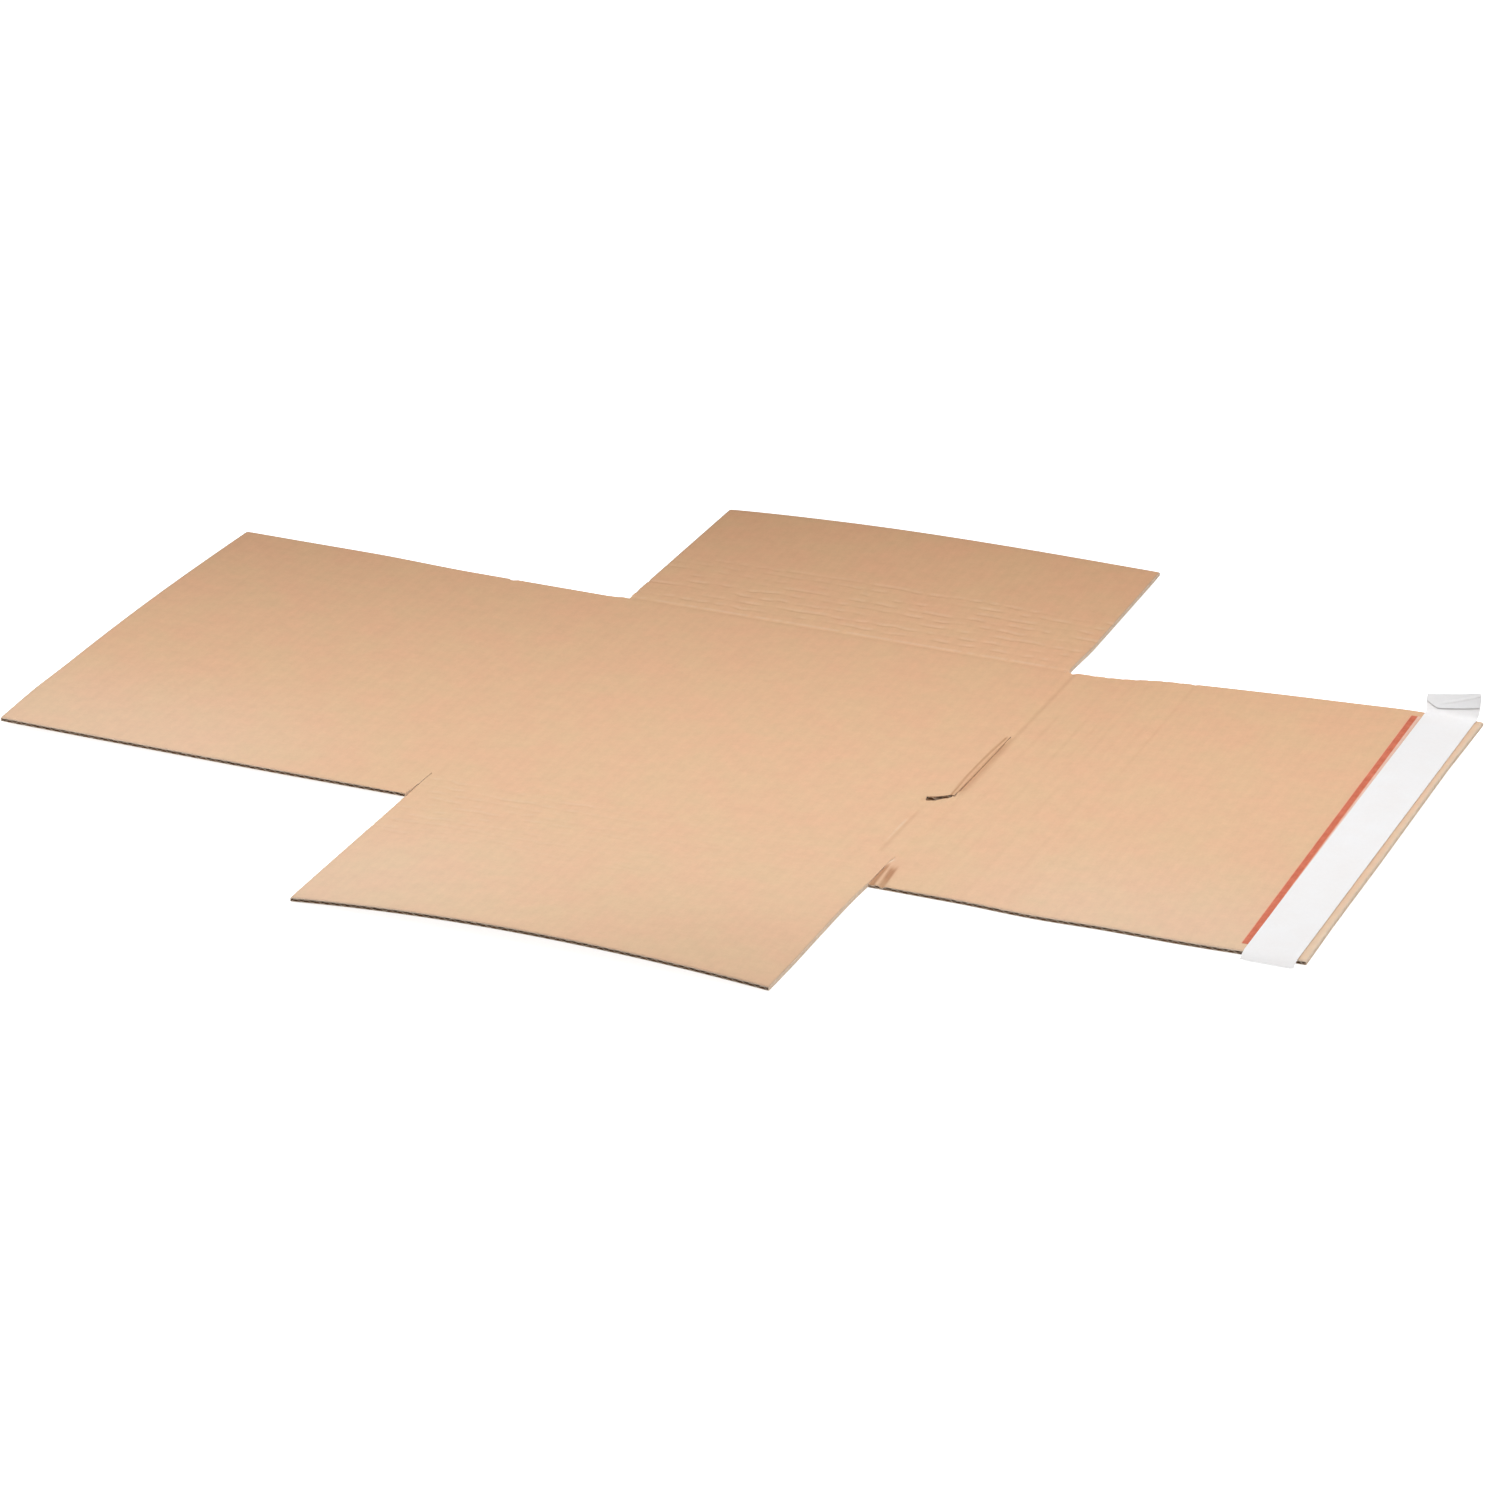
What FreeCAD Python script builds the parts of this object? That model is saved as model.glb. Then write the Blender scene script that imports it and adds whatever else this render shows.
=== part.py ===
import FreeCAD, Part
import os
import Sketcher

# Flattened cross-shaped mailing box of corrugated board, lying open with its inner side up.
# Origin: middle of the underside of the middle panel. +X runs to the panel with the
# self-seal strip, +Y to the back flap, +Z up. All sizes are in millimetres.

SIZES = {
    # Board and the panels that it is cut and creased into
    "board_thickness": 3.0,
    "middle_width": 290.0,
    "side_depth": 323.0,
    "left_length": 264.0,
    "right_length": 257.0,
    "back_length": 159.0,
    "front_length": 185.0,
    "front_inset": 35.5,
    "cut_gap": 0.4,
    "crease_depth": 0.6,
    # Rows of height scores
    "score_depth": 0.7,
    "score_width": 3.0,
    "score_pitch": 8.9,
    "back_first_score": 11.1,
    "front_first_score": 8.9,
    "right_first_score": 14.6,
    # How far the free edges have warped up from the table
    "left_near_lift": 2.7,
    "left_far_lift": 0.8,
    "right_far_lift": 12.8,
    "right_level_width": 48.0,
    "back_right_lift": 5.0,
    "back_bulge": 2.6,
    "front_right_lift": 1.2,
    "front_arch": 7.0,
    # Slit at the right crease, with the raised lip beside it and the tongue in front of it
    "slit_back_end": 58.0,
    "slit_length": 103.0,
    "lip_lift": 3.0,
    "tongue_width": 12.5,
    # Self-seal strip and tear band on the right panel, each a hair above what it is stuck to
    "layer_gap": 0.05,
    "adhesive_thickness": 0.15,
    "adhesive_inset": 3.0,
    "adhesive_end_gap": 2.0,
    "liner_thickness": 0.2,
    "liner_width": 31.0,
    "liner_edge_gap": 5.3,
    "liner_overhang": 6.5,
    "tab_lean": 5.0,
    "tab_left_rise": 10.0,
    "tab_right_rise": 14.0,
    "band_thickness": 0.15,
    "band_width": 4.2,
    "band_liner_gap": 2.4,
    "band_end_gap": 6.5,
}
BACK_SCORES = 8
FRONT_SCORES = 9
RIGHT_SCORES = 8

SAME_PLACE = 1e-6

doc = FreeCAD.newDocument("mailing_box")
sheet = doc.addObject("Spreadsheet::Sheet", "Sizes")
for row, (alias, value) in enumerate(SIZES.items(), start=1):
    sheet.set(f"A{row}", alias)
    sheet.set(f"B{row}", str(value))
    sheet.setAlias(f"B{row}", alias)
doc.recompute()


def size(alias):
    """The expression that reads one driving dimension."""
    return f"Sizes.{alias}"


THICKNESS = size("board_thickness")
HALF_WIDTH = f"{size('middle_width')} / 2"
HALF_DEPTH = f"{size('side_depth')} / 2"
FLAP_HALF_WIDTH = f"({HALF_WIDTH} - {size('cut_gap')})"
FRONT_CREASE = f"(-{HALF_DEPTH} + {size('front_inset')})"


def new_body(label):
    body = doc.addObject("PartDesign::Body", label)
    body.Label = label
    body.Placement = FreeCAD.Placement()
    return body


def origin_plane(body, role):
    return next(item for item in body.Origin.OriginFeatures if item.Role == role)


def outline_sketch(body, name, role, station, corners):
    """A closed outline on an origin plane, moved along that plane's normal by station.

    Each corner is a pair of expressions, and each is held by two dimensions from the origin.
    """
    sketch = body.newObject("Sketcher::SketchObject", name)
    sketch.AttachmentSupport = (origin_plane(body, role), "")
    sketch.MapMode = "FlatFace"
    sketch.setExpression(".AttachmentOffset.Base.z", station)
    points = [FreeCAD.Vector(float(sketch.evalExpression(across)),
                             float(sketch.evalExpression(up)), 0) for across, up in corners]
    count = len(points)
    for index in range(count):
        sketch.addGeometry(Part.LineSegment(points[index], points[(index + 1) % count]), False)
    for index in range(count):
        sketch.addConstraint(Sketcher.Constraint("Coincident", index, 2, (index + 1) % count, 1))
    for index, (across, up) in enumerate(corners):
        for kind, value, expression in (("DistanceX", points[index].x, across),
                                        ("DistanceY", points[index].y, up)):
            number = sketch.addConstraint(Sketcher.Constraint(kind, -1, 1, index, 1, value))
            sketch.setExpression(f"Constraints[{number}]", expression)
    return sketch


def loft(body, name, sections, ruled):
    feature = body.newObject("PartDesign::AdditiveLoft", name)
    feature.Profile = sections[0]
    feature.Sections = sections[1:]
    feature.Ruled = ruled
    body.Tip = feature
    return feature


def panel_outline(root, sign, length, tip_lift, level_width, first_score, score_count):
    """The cross-section of a warped panel, from its crease out to its free edge.

    The panel starts on the table at its crease and rises evenly to tip_lift. Where
    level_width is given, that much of it beside its free edge is level.
    Its upper face has a half V at the crease and a V at each height score.
    """
    def place(reach):
        return f"{root} {sign} ({reach})"

    ramp = f"({length} - {level_width})" if level_width else length

    def rise(reach):
        return f"({tip_lift}) * ({reach}) / {ramp}"

    half_score = f"{size('score_width')} / 2"
    turns = [ramp, length] if level_width else [length]
    corners = [(place("0"), "0")]
    corners += [(place(turn), f"{tip_lift}") for turn in turns]
    corners += [(place(turn), f"{THICKNESS} + {tip_lift}") for turn in reversed(turns)]
    for number in reversed(range(score_count)):
        middle = f"{first_score} + {number} * {size('score_pitch')}"
        outer = f"{middle} + {half_score}"
        inner = f"{middle} - {half_score}"
        corners.append((place(outer), f"{THICKNESS} + {rise(outer)}"))
        corners.append((place(middle), f"{THICKNESS} + {rise(middle)} - {size('score_depth')}"))
        corners.append((place(inner), f"{THICKNESS} + {rise(inner)}"))
    corners.append((place(half_score), f"{THICKNESS} + {rise(half_score)}"))
    corners.append((place("0"), f"{THICKNESS} - {size('crease_depth')}"))
    return corners


def warped_panel(label, role, root, sign, length, stations, level_width=None,
                 first_score=None, score_count=0):
    """A creased panel lofted through cross-sections, each a station and its tip's lift."""
    body = new_body(label)
    sections = []
    for number, (station, tip_lift) in enumerate(stations):
        corners = panel_outline(root, sign, length, tip_lift, level_width,
                                first_score, score_count)
        sections.append(outline_sketch(body, f"{label}_section_{number}", role, station, corners))
    loft(body, f"{label}_loft", sections, ruled=len(sections) == 2)
    return body


def middle_panel():
    """The base, with its free lip beside the slit and the tongue's crease line."""
    slit_back = size("slit_back_end")
    slit_front = f"({slit_back} - {size('slit_length')})"
    slit_middle = f"({slit_back} - {size('slit_length')} / 2)"
    tongue_root = f"({HALF_WIDTH} - {size('tongue_width')})"
    tongue_end = f"({slit_front} - {size('cut_gap')})"

    body = new_body("middle_panel")
    outline = outline_sketch(body, "middle_outline", "XY_Plane", "0", [
        (f"-{HALF_WIDTH}", FRONT_CREASE), (HALF_WIDTH, FRONT_CREASE),
        (HALF_WIDTH, tongue_end), (tongue_root, tongue_end),
        (tongue_root, slit_back), (HALF_WIDTH, slit_back),
        (HALF_WIDTH, HALF_DEPTH), (f"-{HALF_WIDTH}", HALF_DEPTH)])
    plate = body.newObject("PartDesign::Pad", "middle_plate")
    plate.Profile = outline
    plate.setExpression("Length", THICKNESS)
    body.Tip = plate
    doc.recompute()

    # Each crease is half a V in this panel and half in its neighbour.
    bounds = plate.Shape.BoundBox
    creased = []
    for number, edge in enumerate(plate.Shape.Edges, start=1):
        box = edge.BoundBox
        reaches = ((box.XMin, bounds.XMax), (box.XMax, bounds.XMin),
                   (box.YMin, bounds.YMax), (box.YMax, bounds.YMin))
        on_top = abs(box.ZMin - bounds.ZMax) < SAME_PLACE
        if on_top and any(abs(edge_end - limit) < SAME_PLACE for edge_end, limit in reaches):
            creased.append(f"Edge{number}")
    creases = body.newObject("PartDesign::Chamfer", "middle_creases")
    creases.Base = (plate, creased)
    creases.setExpression("Size", size("crease_depth"))
    body.Tip = creases

    lip_edge = f"{HALF_WIDTH} - {size('cut_gap')}"
    sections = []
    for number, (station, lift) in enumerate(((slit_back, "0"), (slit_middle, size("lip_lift")),
                                              (slit_front, size("lip_lift")))):
        corners = [(tongue_root, "0"), (lip_edge, lift),
                   (lip_edge, f"{THICKNESS} + {lift}"), (tongue_root, THICKNESS)]
        sections.append(outline_sketch(body, f"lip_section_{number}", "XZ_Plane",
                                       f"-({station})", corners))
    loft(body, "slit_lip", sections, ruled=True)

    half_score = f"{size('score_width')} / 2"
    line = outline_sketch(body, "tongue_line", "XZ_Plane", f"-{tongue_end}", [
        (f"{tongue_root} - {half_score}", THICKNESS),
        (tongue_root, f"{THICKNESS} - {size('crease_depth')}"),
        (f"{tongue_root} + {half_score}", THICKNESS)])
    groove = body.newObject("PartDesign::Pocket", "tongue_crease")
    groove.Profile = line
    groove.setExpression("Length", f"{tongue_end} - {FRONT_CREASE}")
    groove.Reversed = True
    body.Tip = groove
    return body


FREE_EDGE = f"({HALF_WIDTH} + {size('right_length')})"
LINER_RIGHT = f"({FREE_EDGE} - {size('liner_edge_gap')})"
LINER_LEFT = f"({LINER_RIGHT} - {size('liner_width')})"


def level_top(along):
    """Height of the right panel's upper face beside its free edge, where it is level across."""
    return (f"{THICKNESS} + {size('right_far_lift')}"
            f" * (({along}) + {HALF_DEPTH}) / {size('side_depth')}")


def panel_strip(label, left, right, end_gap, thickness):
    """A thin strip along the right panel that ends end_gap inside its near and far edges."""
    far = f"({HALF_DEPTH} - {end_gap})"
    near = f"(-{far})"
    gap = size("layer_gap")
    body = new_body(label)
    outline = outline_sketch(body, f"{label}_outline", "YZ_Plane", left, [
        (near, f"{level_top(near)} + {gap}"), (far, f"{level_top(far)} + {gap}"),
        (far, f"{level_top(far)} + {gap} + {thickness}"),
        (near, f"{level_top(near)} + {gap} + {thickness}")])
    strip = body.newObject("PartDesign::Pad", f"{label}_pad")
    strip.Profile = outline
    strip.setExpression("Length", f"{right} - {left}")
    body.Tip = strip
    return body


def release_liner():
    """The paper strip over the adhesive, with its far end bent up as a finger tab."""
    paper = size("liner_thickness")
    gap = f"({size('adhesive_thickness')} + 2 * {size('layer_gap')})"
    near = f"(-{HALF_DEPTH} - {size('liner_overhang')})"
    near_height = f"{level_top(near)} + {gap}"
    foot_height = f"{level_top(HALF_DEPTH)} + {gap}"
    body = new_body("release_liner")
    sections = []
    for number, (station, rise) in enumerate(((LINER_LEFT, size("tab_left_rise")),
                                              (LINER_RIGHT, size("tab_right_rise")))):
        top = f"({HALF_DEPTH} + {size('tab_lean')} * {rise} / {size('tab_right_rise')})"
        corners = [(near, near_height), (HALF_DEPTH, foot_height),
                   (top, f"{foot_height} + {rise}"),
                   (f"{top} - {paper}", f"{foot_height} + {rise}"),
                   (f"{HALF_DEPTH} - {paper}", f"{foot_height} + {paper}"),
                   (near, f"{near_height} + {paper}")]
        sections.append(outline_sketch(body, f"liner_section_{number}", "YZ_Plane",
                                       station, corners))
    loft(body, "liner_loft", sections, ruled=True)
    return body


def build_parts():
    """Every separate node of the object, in the order in which it would be made."""
    along_side = [f"-({HALF_DEPTH})", HALF_DEPTH]
    quarter = f"{FLAP_HALF_WIDTH} / 2"
    parts = [middle_panel()]
    parts.append(warped_panel(
        "left_panel", "XZ_Plane", f"-{HALF_WIDTH}", "-", size("left_length"),
        [(along_side[0], size("left_far_lift")), (along_side[1], size("left_near_lift"))]))
    parts.append(warped_panel(
        "right_panel", "XZ_Plane", HALF_WIDTH, "+", size("right_length"),
        [(along_side[0], size("right_far_lift")), (along_side[1], "0")],
        size("right_level_width"), size("right_first_score"), RIGHT_SCORES))
    back_lift = size("back_right_lift")
    bulge = size("back_bulge")
    parts.append(warped_panel(
        "back_flap", "YZ_Plane", HALF_DEPTH, "+", size("back_length"),
        [(f"-{FLAP_HALF_WIDTH}", "0"),
         (f"-{quarter}", f"({back_lift} / 4 + {bulge} * 3 / 4)"),
         ("0", f"({back_lift} / 2 + {bulge})"),
         (quarter, f"({back_lift} * 3 / 4 + {bulge} * 3 / 4)"),
         (FLAP_HALF_WIDTH, back_lift)],
        first_score=size("back_first_score"), score_count=BACK_SCORES))
    front_lift = size("front_right_lift")
    arch = size("front_arch")
    parts.append(warped_panel(
        "front_flap", "YZ_Plane", FRONT_CREASE, "-", size("front_length"),
        [(f"-{FLAP_HALF_WIDTH}", "0"),
         (f"-{quarter}", f"({front_lift} / 4 + {arch} * 3 / 4)"),
         ("0", f"({front_lift} / 2 + {arch})"),
         (quarter, f"({front_lift} * 3 / 4 + {arch} * 3 / 4)"),
         (FLAP_HALF_WIDTH, front_lift)],
        first_score=size("front_first_score"), score_count=FRONT_SCORES))
    inset = size("adhesive_inset")
    parts.append(panel_strip("adhesive_strip", f"({LINER_LEFT} + {inset})",
                             f"({LINER_RIGHT} - {inset})", size("adhesive_end_gap"),
                             size("adhesive_thickness")))
    parts.append(release_liner())
    band_right = f"({LINER_LEFT} - {size('band_liner_gap')})"
    parts.append(panel_strip("tear_band", f"({band_right} - {size('band_width')})",
                             band_right, size("band_end_gap"), size("band_thickness")))
    return parts


def write_parts(parts):
    doc.recompute()
    for item in doc.Objects:
        if "Invalid" in item.State or "Error" in item.State:
            raise RuntimeError(f"{item.Label} failed: {item.State}")
    os.makedirs("parts", exist_ok=True)
    for part in parts:
        shape = part.Shape
        if shape.isNull() or not shape.isValid() or len(shape.Solids) != 1:
            raise RuntimeError(f"{part.Label} has no single valid solid")
    for part in parts:
        part.Shape.exportStep(f"parts/{part.Label}.step")
        box = part.Shape.BoundBox
        print(f"{part.Label}: {part.Shape.Volume:.0f} mm3, X {box.XMin:.1f} to {box.XMax:.1f}, "
              f"Y {box.YMin:.1f} to {box.YMax:.1f}, Z {box.ZMin:.2f} to {box.ZMax:.2f}")


write_parts(build_parts())
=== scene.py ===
import math

import bpy
import numpy as np
from mathutils import Matrix, Vector


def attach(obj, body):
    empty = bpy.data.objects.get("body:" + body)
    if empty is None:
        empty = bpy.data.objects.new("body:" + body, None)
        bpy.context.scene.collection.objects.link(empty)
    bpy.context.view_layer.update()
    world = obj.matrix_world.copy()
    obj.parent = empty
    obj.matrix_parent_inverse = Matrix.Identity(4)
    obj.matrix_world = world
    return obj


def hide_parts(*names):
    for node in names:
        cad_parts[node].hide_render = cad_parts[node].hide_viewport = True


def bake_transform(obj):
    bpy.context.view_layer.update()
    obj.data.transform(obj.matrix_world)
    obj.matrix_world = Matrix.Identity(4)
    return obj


# Flattened cross-shaped mailing box of corrugated board, lying open with its inner side up.
# The box's lengths are in millimetres and become metres when a mesh is made. The stage, the lights
# and the camera are in metres.

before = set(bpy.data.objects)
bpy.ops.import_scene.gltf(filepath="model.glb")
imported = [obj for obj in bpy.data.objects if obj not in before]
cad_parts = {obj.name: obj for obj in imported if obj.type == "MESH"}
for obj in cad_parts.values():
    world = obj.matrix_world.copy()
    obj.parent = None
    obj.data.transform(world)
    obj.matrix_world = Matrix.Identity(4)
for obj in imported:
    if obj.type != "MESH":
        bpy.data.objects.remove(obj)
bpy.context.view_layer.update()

MM = 0.001
BOARD = 3.0
LINER = 0.36
CORE = 0.26
FLUTE_PITCH = 6.4
HALF_WIDTH = 145.0
HALF_DEPTH = 161.5
FRONT_CREASE = -126.0
LEFT_TIP = -409.0
RIGHT_TIP = 402.0
BACK_TIP = 320.5
FRONT_TIP = -311.0
FLAP_HALF = 144.6
# The bend of each crease belongs to the flap, whose mesh starts this far inside the crease.
BEND = 3.5
# A distance on either side of a crease; the placing loop below works out points this far from each
# crease but does not use them.
BLEND = 2.6
SLIT_BACK = 58.0
SLIT_FRONT = -45.0
CUT = 0.4
TONGUE_ROOT = 132.5
# How far the height scores reach, where the grids are fine.
BACK_SCORED = 240
FRONT_SCORED = -216
RIGHT_SCORED = (154, 232)
# Places of the materials on a board.
FACE, CUT_RIM, FLUTED, CLOSED = range(4)


# Surface heights

def lattice(seed, cell_x, cell_y):
    """Smooth noise from 0 to 1 over the sheet, with features of about the given cell."""
    values = np.random.RandomState(seed).rand(64, 64)

    def read(x, y):
        u = np.asarray(x, float) / cell_x + 200.37
        v = np.asarray(y, float) / cell_y + 200.71
        i = np.floor(u).astype(int)
        j = np.floor(v).astype(int)
        a = u - i
        b = v - j
        a = a * a * (3 - 2 * a)
        b = b * b * (3 - 2 * b)
        i0, i1, j0, j1 = i % 64, (i + 1) % 64, j % 64, (j + 1) % 64
        return ((values[i0, j0] * (1 - a) + values[i1, j0] * a) * (1 - b)
                + (values[i0, j1] * (1 - a) + values[i1, j1] * a) * b)
    return read


uneven = lattice(3, 70, 90)
row_strength = lattice(5, 5.5, 4.5)
row_drift = lattice(8, 8, 9)
long_strength = lattice(11, 9, 34)


def valley(distance, half_width):
    """1 on the middle line of a pressed line, and 0 beyond its half width."""
    d = np.clip(np.abs(distance) / half_width, 0, 1)
    return 0.5 + 0.5 * np.cos(math.pi * d)


def ramp(value, start, end):
    t = np.clip((np.asarray(value, float) - start) / (end - start), 0, 1)
    return t * t * (3 - 2 * t)


def ground(x, y):
    """The table side of a board that doesn't lie quite flat."""
    return 0.1 + 0.3 * uneven(x, y)


def left_under(x, y):
    """The outer edge stands up a little, most between its corners."""
    reach = np.clip(-HALF_WIDTH - x, 0, None) / (-HALF_WIDTH - LEFT_TIP)
    near = np.clip((HALF_DEPTH - y) / (2 * HALF_DEPTH), 0, 1)
    corner = np.clip((FRONT_CREASE - y) / (FRONT_CREASE + HALF_DEPTH), 0, 1) ** 2
    tip = reach * (0.8 + 1.9 * near) + 3.3 * np.sin(math.pi * near) * reach ** 2.4
    return ground(x, y) + tip + 1.7 * corner * (1 - reach) ** 2


def far_lift(x):
    """How far the far edge of the right panel stands up, along the panel."""
    total = 0
    for offset in (-8, -4, 0, 4, 8):
        total = total + np.interp(x + offset, [145, 170, 182, 200, 240, 283, 325, 356, 402],
                                  [0, 0.8, 1.9, 4.4, 7.0, 9.4, 11.4, 13.0, 13.0])
    return total / 5


def far_share(y):
    """0 at the near edge of a side panel, and 1 at its far edge."""
    return (y + HALF_DEPTH) / (2 * HALF_DEPTH)


def right_under(x, y):
    return ground(x, y) + far_lift(x) * far_share(y)


def back_under(x, y):
    reach = np.clip(y - HALF_DEPTH, 0, None) / (BACK_TIP - HALF_DEPTH)
    side = (x + FLAP_HALF) / (2 * FLAP_HALF)
    bow = 1 - (x / FLAP_HALF) ** 2
    return ground(x, y) + reach * (5.0 * side + bow * (3.2 - 0.9 * x / FLAP_HALF))


def front_under(x, y):
    reach = np.clip(FRONT_CREASE - y, 0, None) / (FRONT_CREASE - FRONT_TIP)
    side = (x + FLAP_HALF) / (2 * FLAP_HALF)
    bow = 1 - (x / FLAP_HALF) ** 2
    hump = 1.1 * ramp(x, 60, 140) * np.sin(math.pi * np.clip((reach - 0.19) / 0.6, 0, 1))
    return ground(x, y) + reach * (1.2 * side + bow * (6.6 - 0.6 * x / FLAP_HALF)) + hump


def along_slit(y):
    """1 beside the slit, and 0 beyond its ends."""
    return ramp(y, SLIT_FRONT - 2, SLIT_FRONT + 12) * ramp(-y, -SLIT_BACK, -SLIT_BACK + 12)


def slit_run(y):
    """0 at the near end of the slit, and 1 at its far end."""
    return np.clip((y - SLIT_FRONT) / (SLIT_BACK - SLIT_FRONT), 0, 1)


def on_lip(y):
    return (y > SLIT_FRONT - CUT / 2) & (y < SLIT_BACK)


def middle_under(x, y):
    """The lip beside the slit bows up a little between its ends."""
    run = slit_run(y)
    lip = 0.6 * np.sin(math.pi * run ** 0.8) + 0.2 * (1 - run)
    on = ramp(-y, -SLIT_BACK, -SLIT_BACK + 4) * (y >= SLIT_FRONT - CUT / 2)
    return ground(x, y) + lip * on * ramp(x, TONGUE_ROOT - 9, FLAP_HALF)


def crease_splay(y):
    """The right crease runs a little outwards towards the near edge."""
    return 2.2 * ramp(-y, 20, 60)


def creases(x, y):
    """How far the creases between the middle panel and its flaps are pressed in."""
    across = (y > FRONT_CREASE - 3) & (y < HALF_DEPTH + 3)
    along = (x > -HALF_WIDTH - 3) & (x < HALF_WIDTH + 3)
    pressed = 0.4 * valley(x + HALF_WIDTH - 2, 7.5) * across
    right_crease = valley(x - HALF_WIDTH - 0.4 - crease_splay(y), 4.6)
    pressed = np.maximum(pressed, 0.95 * right_crease * across)
    ripple = 0.7 + 0.3 * row_strength(x * 0.8, 17 + 0 * y)
    pressed = np.maximum(pressed, 0.65 * ripple * valley(y - HALF_DEPTH - 0.4, 3.4) * along)
    broken = 0.25 + 0.75 * ramp(row_strength(x * 0.4, 31 + 0 * y), 0.35, 0.65)
    return np.maximum(pressed, 0.32 * broken * valley(y - FRONT_CREASE, 2.8) * along)


def tongue_line(x, y):
    on = ramp(-y, 58, 70) * ramp(y, FRONT_CREASE + 1, FRONT_CREASE + 6)
    return 0.75 * valley(x - TONGUE_ROOT, 2.8) * on


def cross_rows(x, y, centres, seed_shift, width):
    """Height scores across the flutes, which buckle the liner in short broken ripples."""
    pressed = np.zeros_like(x)
    for number, centre in enumerate(centres):
        drift = 3.4 * (row_drift(x + 31 * number + seed_shift, y * 0 + 7 * number) - 0.5)
        strength = row_strength(x + 57 * number + seed_shift, y * 0 + 13 * number)
        strength = 0.1 + 0.9 * ramp(strength, 0.42, 0.72)
        pressed = np.maximum(pressed, strength * valley(y - centre - drift, width))
    return pressed


BACK_ROWS = [172.5, 181.5, 191.0, 200.0, 209.0, 218.0, 227.0, 234.5]
FRONT_ROWS = [-134.5, -144.0, -152.0, -160.5, -168.5, -177.5, -186.0, -194.0, -204.5, -210.0]
RIGHT_ROWS = [159.5, 168.5, 177.5, 186.5, 195.5, 205.0, 214.0, 223.5]


def back_fade(x, y):
    """The rows far from the crease grow fainter towards the left."""
    return 1 - 0.6 * ramp(y, 200, 222) * ramp(-x, -70, 70)


def back_pressed(x, y):
    return creases(x, y) + 0.55 * back_fade(x, y) * cross_rows(x, y, BACK_ROWS, 0, 2.6)


def front_fade(x, y):
    return (1 - 0.75 * ramp(x, -50, 70)) * (0.5 + 0.5 * ramp(uneven(x * 1.7, y * 1.7), 0.3, 0.6))


def front_pressed(x, y):
    return creases(x, y) + 0.36 * front_fade(x, y) * cross_rows(x, y, FRONT_ROWS, 400, 2.6)


def kink_lines(x, y):
    return x - 145.3 - 0.06 * (-130.5 - y), x - 150.2 - 0.09 * (-133.7 - y)


def near_kinks(x, y):
    """Two short crushed folds in the right panel, beside its near corner."""
    on = ramp(-y, 131, 137)
    first, second = kink_lines(x, y)
    return np.maximum(0.45 * valley(first, 2.6), 0.8 * valley(second, 2.6)) * on


def sunk_tongue(x, y):
    """The end of the tongue lies a little lower than the board beyond its cut."""
    deep = 1.75 - 0.6 * ramp(x, 136, 140)
    on = ramp(x, TONGUE_ROOT - 3, TONGUE_ROOT + 0.5) * ramp(-x, -HALF_WIDTH - CUT, -143)
    return deep * on * ramp(y, -58, SLIT_FRONT - CUT) * (y < SLIT_FRONT - CUT / 2)


def score_line(x, y, centre):
    """The distance from a height score along the flutes, which splays towards the near edge."""
    return x - centre - 2.0 * ramp(-y, -HALF_DEPTH, HALF_DEPTH)


def right_pressed(x, y):
    """The height scores along the flutes are straight and unbroken."""
    pressed = np.zeros_like(x)
    for number, centre in enumerate(RIGHT_ROWS):
        strength = 0.3 + 0.45 * long_strength(x * 0 + 13 * number, y)
        if number == len(RIGHT_ROWS) - 1:
            strength = strength + 0.45
        pressed = np.maximum(pressed, strength * valley(score_line(x, y, centre), 2.6))
    beside_slit = 1.6 * (1 - ramp(x, HALF_WIDTH + 0.5, 152.5)) * along_slit(y)
    deep = np.maximum(creases(x, y), np.maximum(beside_slit, 1.35 * near_kinks(x, y)))
    faint = 0.45 * (0.55 + 0.45 * ramp(y, -70, 90))
    return np.maximum(deep, sunk_tongue(x, y)) + faint * pressed


def bent_lip(x, y):
    """The free edge of the lip is bent down, most between the slit's ends."""
    amount = 0.5 + 1.1 * np.sin(math.pi * slit_run(y)) ** 0.8
    return amount * on_lip(y) * np.clip((x - 142.7) / 1.9, 0, 1)


def middle_pressed(x, y):
    return np.maximum(creases(x, y) + tongue_line(x, y),
                      np.maximum(sunk_tongue(x, y), bent_lip(x, y)))


# Where the cut lines of the real box leave the straight lines of the grid.

def slant(x, y):
    """The cut at the tongue's end runs aslant, and is wider at the tongue's root."""
    amount = np.interp(x, [TONGUE_ROOT, 137.0, FLAP_HALF], [2.6, 4.6, 11.6])
    amount = amount * ramp(x, 112, TONGUE_ROOT) * ramp(-x, -185, -150)
    fade = ramp(y, -92, SLIT_FRONT - CUT) * ramp(-y, -5, -SLIT_FRONT)
    gap = 1.3 + 0.3 * np.clip((FLAP_HALF - x) / (FLAP_HALF - TONGUE_ROOT), 0, 1)
    below = ramp(y, -60, SLIT_FRONT - CUT) * (y < SLIT_FRONT - CUT / 2)
    return amount * fade - gap * below * ramp(x, 124, TONGUE_ROOT)


def middle_shift(x, y):
    root = valley(x - TONGUE_ROOT, 9) * valley(y - SLIT_FRONT, 12)
    return -1.2 * root, slant(x, y)


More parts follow.
